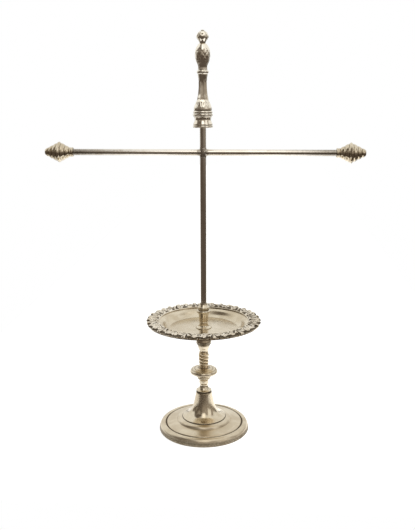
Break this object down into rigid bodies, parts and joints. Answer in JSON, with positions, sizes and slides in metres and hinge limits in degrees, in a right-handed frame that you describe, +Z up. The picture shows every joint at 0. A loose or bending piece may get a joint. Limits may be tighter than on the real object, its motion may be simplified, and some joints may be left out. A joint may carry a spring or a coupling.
{
  "type": "jewelry stand",
  "caption": "Silver-plated T-bar jewelry stand: round weighted foot, turned stem, shallow tray with a cast scroll border, post with a level crossbar and ribbed finials, and an ornate top grip.",
  "frame": {"origin": "centre of the foot's underside, on the surface that the stand stands on", "axes": "+Z up along the post, X along the crossbar, Y across it"},
  "size_m": [0.3254, 0.1228, 0.42],
  "materials": {
    "silver_plate": "polished silver plate on brass, warm and lightly tarnished",
    "cast_silver_plate": "silver plate on cast brass, with dark patina in the recesses",
    "braze_metal": "plated braze metal, satin",
    "steel": "plain threaded steel",
    "cast_iron": "rough casting",
    "felt": "dark green felt"
  },
  "bodies": {
    "root": {"felt_pad": "felt", "base_foot": "silver_plate", "base_weight": "cast_iron", "base_washer": "steel", "base_nut": "steel", "tie_rod": "steel", "bell_riser": "silver_plate", "neck_spool": "silver_plate", "knop": "silver_plate", "twist_stem": "cast_silver_plate", "stem_cup": "silver_plate", "tray_collar": "silver_plate", "tray": "silver_plate", "tray_border": "cast_silver_plate", "post_socket": "silver_plate", "post": "silver_plate", "crossbar_right": "silver_plate", "crossbar_left": "silver_plate", "braze_right": "braze_metal", "braze_left": "braze_metal", "finial_collar_right": "silver_plate", "finial_collar_left": "silver_plate", "finial_right": "cast_silver_plate", "finial_left": "cast_silver_plate", "handle_skirt": "silver_plate", "handle_ring": "silver_plate", "handle_body": "cast_silver_plate", "handle_collar": "silver_plate", "thistle": "cast_silver_plate", "crown_ball": "cast_silver_plate", "handle_stud": "steel"}
  },
  "joints": []
}
